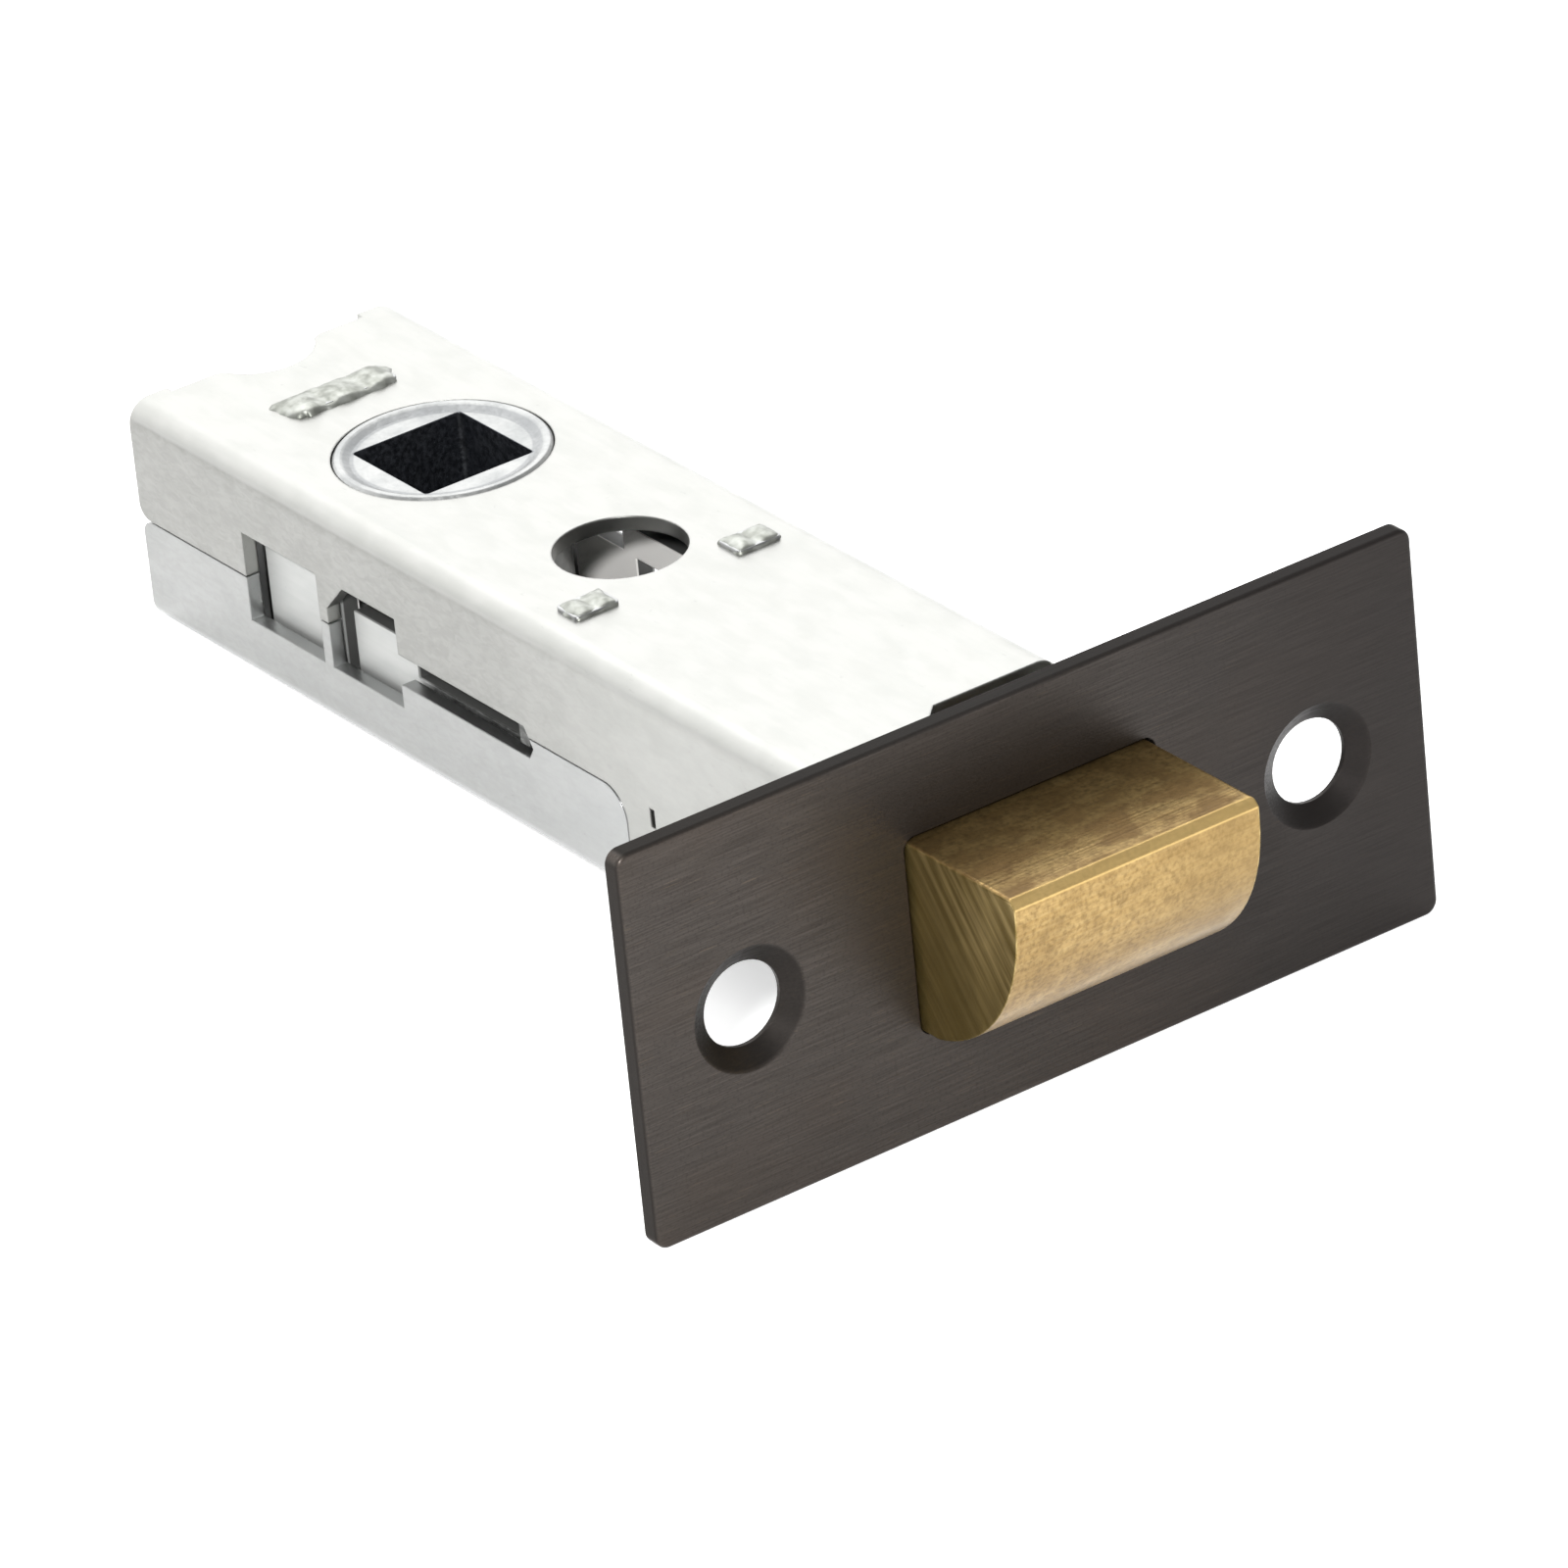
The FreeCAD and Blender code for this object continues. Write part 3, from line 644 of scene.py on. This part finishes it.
def as_object(name: str, mesh: bmesh.types.BMesh, material: bpy.types.Material, body: Body) -> bpy.types.Object:
    """Turn a finished bmesh into a piece that rides on a body.

    Args:
        name: The piece's name.
        mesh: Its mesh, in metres, in the shared frame.
        material: Its finish.
        body: The body that carries it.

    Returns:
        The new object.
    """
    bmesh.ops.remove_doubles(mesh, verts=mesh.verts, dist=1e-7)
    bmesh.ops.recalc_face_normals(mesh, faces=mesh.faces)
    data = bpy.data.meshes.new(name)
    mesh.to_mesh(data)
    mesh.free()
    piece = bpy.data.objects.new(name, data)
    bpy.context.scene.collection.objects.link(piece)
    data.materials.append(material)
    for face in data.polygons:
        face.use_smooth = True
    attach(piece, body.value)
    log.info("%s: %d faces on %s", name, len(data.polygons), body.value)
    return piece


@dataclass
class StakedTenon:
    """Head of one tenon, struck with a punch until it fills its slot in the shell."""

    name: str
    middle_mm: tuple[float, float]
    half_x_mm: float
    half_y_mm: float
    blows: int
    side: int
    face_mm: float = 7.6
    core_mm: float = 0.27
    rise_mm: float = 0.24
    seed: float = 0.0

    def build(self, material: bpy.types.Material) -> bpy.types.Object:
        """Make the lumpy head, closed below the shell's face.

        Args:
            material: The peened metal's finish.

        Returns:
            The head's object.
        """
        mesh = bmesh.new()
        across, along = 16, max(16, int(self.half_y_mm / self.half_x_mm * 16))
        bmesh.ops.create_grid(mesh, x_segments=across, y_segments=along, size=1.0)
        bmesh.ops.scale(mesh, vec=(self.half_x_mm, self.half_y_mm, 1.0), verts=mesh.verts)
        for vert in mesh.verts:
            vert.co = self.struck(vert.co)
        rim = [edge for edge in mesh.edges if edge.is_boundary]
        made = bmesh.ops.extrude_edge_only(mesh, edges=rim)["geom"]
        below = [item for item in made if isinstance(item, bmesh.types.BMVert)]
        for vert in below:
            vert.co.z = -0.2
        bmesh.ops.holes_fill(mesh, edges=[edge for edge in mesh.edges if edge.is_boundary], sides=0)
        place = Matrix.Translation((self.middle_mm[0], self.middle_mm[1], self.side * self.face_mm))
        flip = Matrix.Scale(self.side, 4, Vector((0, 0, 1)))
        bmesh.ops.transform(mesh, matrix=Matrix.Scale(MM, 4) @ place @ flip, verts=mesh.verts)
        return as_object(self.name, mesh, material, Body.CASE)

    def struck(self, point: Vector) -> Vector:
        """Where one point of the head ends up.

        Args:
            point: The point on the flat grid, in millimetres from the head's middle.

        Returns:
            The point after the punch: lumps between blows, a wavering outline and a low rim.
        """
        across, along = point.x / self.half_x_mm, point.y / self.half_y_mm
        edge = max(abs(across) ** 3, abs(along) ** (3 * self.half_y_mm / self.half_x_mm))
        waver = noise.noise(Vector((point.x * 1.3, point.y * 1.3, self.seed))) * 0.16
        lump = 0.5 + 0.5 * math.cos(math.pi * self.blows * (along + 1) + math.pi)
        rough = noise.noise(Vector((point.x * 2.1, point.y * 2.1, self.seed + 7))) * 0.07
        pillow = lump ** 0.6 * (1 - 0.55 * abs(across) ** 3)
        lean = noise.noise(Vector((self.seed, round(self.blows * along), 3.0))) * 0.16 * across
        height = self.core_mm + self.rise_mm * pillow + rough * 0.6 + lean
        drop = max(0.0, 1 - edge) ** 0.25
        grow = 1 + waver * edge
        corner = 1 - 0.10 * (across * across) ** 2 * (along * along) ** 4
        return Vector((point.x * grow * corner, point.y * grow * corner, max(height, self.core_mm) * drop - 0.05 * (1 - drop)))


@dataclass
class Forend:
    """Face plate and the collar behind it."""

    nodes: tuple[str, ...] = ("forend",)
    collar: str = "forend_collar"

    def build(self, frame: dict[str, Any], bronze: bpy.types.Material, zinc: bpy.types.Material) -> None:
        """Dress the plate in bronze and its collar in zinc.

        Args:
            frame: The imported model.
            bronze: Finish of the plate.
            zinc: Finish of the collar.
        """
        for name in self.nodes:
            dress(frame["nodes"][name], bronze)
        dress(frame["nodes"][self.collar], zinc)
        log.info("forend and collar dressed")


@dataclass
class Case:
    """Two pressed shells, tied by plates with staked tenons."""

    front_tenon_x_mm: float = -35.9
    front_tenon_y_mm: float = 6.0
    rear_tenon_x_mm: float = -71.4
    front_half_mm: tuple[float, float] = (1.2, 1.7)
    rear_half_mm: tuple[float, float] = (1.5, 4.1)

    def build(
        self,
        frame: dict[str, Any],
        upper: bpy.types.Material,
        lower: bpy.types.Material,
        peened: bpy.types.Material,
    ) -> None:
        """Dress the shells and strike the tenons' heads.

        Args:
            frame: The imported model.
            upper: Finish of the upper shell.
            lower: Finish of the lower shell and the plates.
            peened: Finish of the struck heads.
        """
        dress(frame["nodes"]["upper_shell"], upper)
        dress(frame["nodes"]["lower_shell"], lower)
        dress(frame["nodes"]["front_tie_plate"], lower)
        dress(frame["nodes"]["rear_tie_plate"], lower)
        for side, word in ((1, "upper"), (-1, "lower")):
            for across, hand in ((-1, "left"), (1, "right")):
                middle = (self.front_tenon_x_mm, across * self.front_tenon_y_mm)
                head = StakedTenon(f"front_stake_{word}_{hand}", middle, *self.front_half_mm, 2, side)
                head.seed = 3.1 * side + 1.7 * across
                head.build(peened)
            head = StakedTenon(f"rear_stake_{word}", (self.rear_tenon_x_mm, -0.1), *self.rear_half_mm, 3, side)
            head.seed = 5.3 * side
            head.build(peened)


@dataclass
class CoilSpring:
    """Compression spring wound from round wire, with one dead turn at each end."""

    node: str
    joint: str
    body: Body
    wire_mm: float
    turns: float
    ring_sides: int = 12
    turn_steps: int = 40

    def build(self, frame: dict[str, Any], material: bpy.types.Material) -> bpy.types.Object:
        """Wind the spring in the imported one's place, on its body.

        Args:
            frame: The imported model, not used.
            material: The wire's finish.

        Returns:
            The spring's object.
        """
        low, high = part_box(self.node)
        wire = self.wire_mm * MM
        radius = (high[2] - low[2] - wire) / 2
        mesh = bmesh.new()
        start = bmesh.ops.create_circle(mesh, radius=wire / 2, segments=self.ring_sides)["verts"]
        seat = Matrix.Translation((low[0] + wire / 2, 0, -radius)) @ Matrix.Rotation(math.pi / 2, 4, "X")
        bmesh.ops.transform(mesh, matrix=seat, verts=start)
        ring: list[Any] = start + list(mesh.edges)
        dead = wire * 1.01
        active = (high[0] - low[0] - wire - 2 * dead) / (self.turns - 2)
        for turns, pitch in ((1.0, dead), (self.turns - 2, active), (1.0, dead)):
            steps = round(self.turn_steps * turns)
            along = Vector((pitch * turns / steps, 0, 0))
            ring = bmesh.ops.spin(
                mesh, geom=ring, cent=(0, 0, 0), axis=(1, 0, 0), dvec=along,
                angle=math.tau * turns, steps=steps, use_merge=False, use_duplicate=False,
            )["geom_last"]
        bmesh.ops.holes_fill(mesh, edges=[edge for edge in mesh.edges if edge.is_boundary], sides=0)
        piece = as_object(f"{self.node}_coil", mesh, material, self.body)
        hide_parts(self.node)
        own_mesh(piece)
        return piece


@dataclass
class Works:
    """What moves inside the case: hub, retractor, bolt and springs."""

    zinc_nodes: tuple[str, ...] = ("retractor_yoke", "retractor_arm_right", "retractor_arm_left")
    steel_nodes: tuple[str, ...] = ("bolt_stem", "stem_washer")
    spring_nodes: tuple[str, ...] = ("stem_clip",)
    springs: tuple[CoilSpring, ...] = (
        CoilSpring("bolt_spring", "bolt_push", Body.RETRACTOR, 0.7, 10.0),
        CoilSpring("return_spring", "retractor_slide", Body.CASE, 1.1, 5.5),
    )

    def build(
        self, frame: dict[str, Any], finishes: dict[Slot, bpy.types.Material], dull: bpy.types.Material
    ) -> None:
        """Dress every moving piece.

        Args:
            frame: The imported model.
            finishes: One finish for each material slot.
            dull: Finish of the retractor's plates, which are barrel plated.
        """
        dress(frame["nodes"]["hub"], finishes[Slot.HUB])
        dress(frame["nodes"]["latch_bolt"], finishes[Slot.BRASS])
        for name in self.zinc_nodes:
            dress(frame["nodes"][name], dull)
        for name in self.steel_nodes:
            dress(frame["nodes"][name], finishes[Slot.ZINC])
        for name in self.spring_nodes:
            dress(frame["nodes"][name], finishes[Slot.SPRING])
        for spring in self.springs:
            spring.build(frame, finishes[Slot.SPRING])
        log.info("hub, bolt and retractor dressed, springs wound")


@dataclass
class Studio:
    """White table, soft light and the photograph's camera."""

    camera_at: tuple[float, float, float] = (0.5285, -0.3635, 0.3432)
    camera_aim: tuple[float, float, float] = (-0.02874, 0.00196, -0.00477)
    camera_roll_deg: float = 5.84
    lens_mm: float = 287.1
    table_height_mm: float = -12.9
    table_slope_deg: float = 3.84
    table_glow: float = 0.38
    bright_wall: tuple[float, float, float] = (-0.896, 0.149, 0.418)
    room_strength: float = 0.55
    wall_strength: float = 2.4

    def build(self) -> None:
        """Set the table, the lights and the camera."""
        self.table()
        self.light()
        self.camera()

    def table(self) -> None:
        """A plain pale sheet under the latch, lying on the two edges that it rests on."""
        mesh = bmesh.new()
        bmesh.ops.create_grid(mesh, x_segments=4, y_segments=4, size=2.5)
        tilt = Matrix.Rotation(math.radians(self.table_slope_deg), 4, "Y")
        bmesh.ops.transform(mesh, matrix=Matrix.Translation((0, 0, self.table_height_mm * MM)) @ tilt, verts=mesh.verts)
        data = bpy.data.meshes.new("table")
        mesh.to_mesh(data)
        mesh.free()
        sheet = bpy.data.objects.new("table", data)
        bpy.context.scene.collection.objects.link(sheet)
        paper = bpy.data.materials.new("glowing white paper")
        paper.use_nodes = True
        shader = paper.node_tree.nodes["Principled BSDF"]
        shader.inputs["Base Color"].default_value = srgb("F4F4F4")
        shader.inputs["Roughness"].default_value = 0.9
        # The sheet glows: painted light that keeps it white in the latch's shadows.
        shader.inputs["Emission Color"].default_value = (1.0, 1.0, 1.0, 1.0)
        shader.inputs["Emission Strength"].default_value = self.table_glow
        data.materials.append(paper)

    def light(self) -> None:
        """A white room with one brighter wall behind the latch, a large soft box above it and a small one beside."""
        world = bpy.data.worlds.new("white room")
        world.use_nodes = True
        bpy.context.scene.world = world
        tree = world.node_tree
        way = add_node(tree, "TexCoord").outputs["Generated"]
        toward = add_node(tree, "VectorMath", {"operation": "DOT_PRODUCT"}, {0: way, 1: self.bright_wall})
        inputs = {0: toward.outputs["Value"], 1: 0.20, 2: 0.95, 3: self.room_strength, 4: self.wall_strength}
        strength = add_node(tree, "MapRange", {"interpolation_type": "SMOOTHSTEP"}, inputs).outputs[0]
        tree.links.new(strength, tree.nodes["Background"].inputs["Strength"])
        tree.nodes["Background"].inputs["Color"].default_value = (1.0, 1.0, 1.0, 1.0)
        boxes = (("key_box", (-0.45, 0.25, 0.95), 0.9, 2.5), ("side_box", (0.62, -0.53, 0.53), 0.07, 9.0))
        for name, spot, size, power in boxes:
            data = bpy.data.lights.new(name, "AREA")
            data.shape = "DISK"
            data.size = size
            data.energy = power
            box = bpy.data.objects.new(name, data)
            box.location = spot
            box.rotation_euler = (-Vector(spot)).to_track_quat("-Z", "Y").to_euler()
            bpy.context.scene.collection.objects.link(box)
        view = bpy.context.scene.view_settings
        view.view_transform = "Standard"
        view.look = "None"

    def camera(self) -> None:
        """The photograph's viewpoint, aimed at the latch and with the photograph's roll."""
        data = bpy.data.cameras.new("camera")
        data.sensor_width = 36.0
        data.lens = self.lens_mm
        data.clip_start, data.clip_end = 0.05, 20.0
        eye = bpy.data.objects.new("camera", data)
        away = Vector(self.camera_aim) - Vector(self.camera_at)
        eye.rotation_mode = "QUATERNION"
        turn = away.to_track_quat("-Z", "Y").to_matrix()
        roll = Matrix.Rotation(math.radians(-self.camera_roll_deg), 3, "Z")
        eye.rotation_quaternion = (turn @ roll).to_quaternion()
        eye.location = self.camera_at
        bpy.context.scene.collection.objects.link(eye)
        bpy.context.scene.camera = eye


def main() -> None:
    """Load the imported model, dress it, and set the scene round it."""
    logging.basicConfig(level=logging.INFO, format="%(message)s")
    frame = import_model()
    zinc_upper = ZincPlate("zinc plate, upper shell", base="A7A7A4", bloom="9E9F9B", edge_round_mm=0.2).build()
    zinc_lower = ZincPlate(
        "zinc plate, lower shell", base="A9AAAA", bloom="A0A2A2", edge_round_mm=0.2, side_shade_share=0.42
    ).build()
    finishes = {
        Slot.BRONZE: BrushedBronze("brushed bronze plating").build(),
        Slot.ZINC: zinc_lower,
        Slot.HUB: DieCastZinc("die-cast zinc").build(),
        Slot.BRASS: TarnishedBrass("tarnished brass").build(),
        Slot.SPRING: SpringWire("drawn spring wire").build(),
    }
    peened = PeenedSteel("peened steel").build()
    dull = ZincPlate(
        "dull zinc plate", base="B0B1AF", bloom="A4A6A5", roughness=0.45, metallic=0.45,
        side_mm=8.8, side_shade_tone="3B3C3A", side_shade_share=0.85, side_x_mm=(-50.6, -49.4), side_ends=(0.0, 1.0),
        inner_mm=7.65,
    ).build()
    Forend().build(frame, finishes[Slot.BRONZE], zinc_lower)
    Case().build(frame, zinc_upper, zinc_lower, peened)
    Works().build(frame, finishes, dull)
    Studio().build()


if __name__ == "__main__":
    main()
